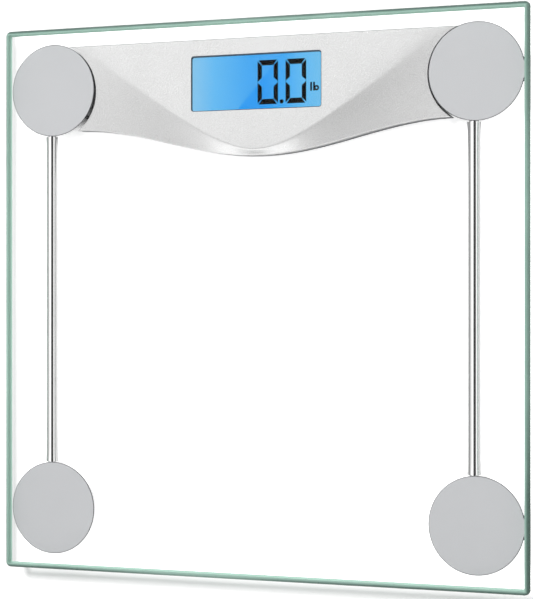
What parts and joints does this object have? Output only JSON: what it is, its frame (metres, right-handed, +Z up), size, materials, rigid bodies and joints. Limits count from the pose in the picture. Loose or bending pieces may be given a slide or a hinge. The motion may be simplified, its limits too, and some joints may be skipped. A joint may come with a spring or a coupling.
{
  "type": "digital bathroom scale",
  "caption": "Square glass-topped digital weighing scale: display housing under the rear edge, load-cell feet at the corners, bright wire tubes between them.",
  "frame": {"origin": "on the floor, under the centre of the platform", "axes": "+Z up, +Y towards the display edge, +X to the right of a person facing the display"},
  "size_m": [0.3, 0.3, 0.025],
  "materials": {
    "platform_glass": "clear tempered glass, polished, green at the ground edge",
    "silver_cover": "satin silver lacquer",
    "disc_foil": "matte silver",
    "grey_shell": "graphite, fine texture",
    "bright_tube": "bright plated",
    "cell_steel": "zinc plated",
    "white_plastic": "moulded",
    "grip_rubber": "matte",
    "green_board": "solder mask",
    "black_plastic": "semi-gloss",
    "lcd_glass": "blue backlit display with a polished face",
    "light_guide": "clear, frosted back",
    "battery_jacket": "printed sleeve, no marks",
    "lead_sheath": "flexible sheath"
  },
  "bodies": {
    "platform": {"glass_platform": "platform_glass", "display_cover": "silver_cover", "foot_disc_front_left": "disc_foil", "foot_cup_front_left": "grey_shell", "cell_bracket_front_left": "white_plastic", "load_cell_front_left": "cell_steel", "foot_disc_front_right": "disc_foil", "foot_cup_front_right": "grey_shell", "cell_bracket_front_right": "white_plastic", "load_cell_front_right": "cell_steel", "foot_disc_rear_left": "disc_foil", "foot_cup_rear_left": "grey_shell", "cell_bracket_rear_left": "white_plastic", "load_cell_rear_left": "cell_steel", "foot_disc_rear_right": "disc_foil", "foot_cup_rear_right": "grey_shell", "cell_bracket_rear_right": "white_plastic", "load_cell_rear_right": "cell_steel", "wire_tube_left": "bright_tube", "wire_tube_right": "bright_tube", "cell_lead_front_left": "lead_sheath", "cell_lead_front_right": "lead_sheath", "cell_lead_rear_left": "lead_sheath", "cell_lead_rear_right": "lead_sheath", "display_base": "grey_shell", "lcd_frame": "white_plastic", "backlight_led": "white_plastic", "lcd_panel": "lcd_glass", "backlight_guide": "light_guide", "contact_strip": "black_plastic", "controller_chip": "black_plastic", "circuit_board": "green_board", "unit_switch": "cell_steel", "housing_screw_1": "cell_steel", "housing_screw_2": "cell_steel", "housing_screw_3": "cell_steel", "housing_screw_4": "cell_steel", "housing_screw_5": "cell_steel", "contact_negative": "cell_steel", "contact_positive": "cell_steel", "contact_bridge": "cell_steel", "battery_front": "battery_jacket", "battery_rear": "battery_jacket"},
    "foot_front_left": {"foot_cap_front_left": "grey_shell", "foot_grip_front_left": "grip_rubber", "load_dome_front_left": "cell_steel"},
    "foot_front_right": {"foot_cap_front_right": "grey_shell", "foot_grip_front_right": "grip_rubber", "load_dome_front_right": "cell_steel"},
    "foot_rear_left": {"foot_cap_rear_left": "grey_shell", "foot_grip_rear_left": "grip_rubber", "load_dome_rear_left": "cell_steel"},
    "foot_rear_right": {"foot_cap_rear_right": "grey_shell", "foot_grip_rear_right": "grip_rubber", "load_dome_rear_right": "cell_steel"},
    "button": {"unit_button": "white_plastic", "switch_plunger": "black_plastic"},
    "door": {"battery_door": "grey_shell"}
  },
  "joints": [
    {"name": "foot_front_left_travel", "type": "slide", "parent": "platform", "child": "foot_front_left", "axis": [0, 0, 1], "range_m": [-0.0003, 0.0005]},
    {"name": "foot_front_right_travel", "type": "slide", "parent": "platform", "child": "foot_front_right", "axis": [0, 0, 1], "range_m": [-0.0003, 0.0005]},
    {"name": "foot_rear_left_travel", "type": "slide", "parent": "platform", "child": "foot_rear_left", "axis": [0, 0, 1], "range_m": [-0.0003, 0.0005]},
    {"name": "foot_rear_right_travel", "type": "slide", "parent": "platform", "child": "foot_rear_right", "axis": [0, 0, 1], "range_m": [-0.0003, 0.0005]},
    {"name": "button_press", "type": "slide", "parent": "platform", "child": "button", "axis": [0, 0, 1], "range_m": [0, 0.0005], "stiffness_N_per_m": 50, "springref_m": -0.0003},
    {"name": "door_hinge", "type": "hinge", "parent": "platform", "child": "door", "pos_m": [-0.068, 0.1087, 0.0032], "axis": [-1, 0, 0], "range_deg": [0, 70]}
  ]
}
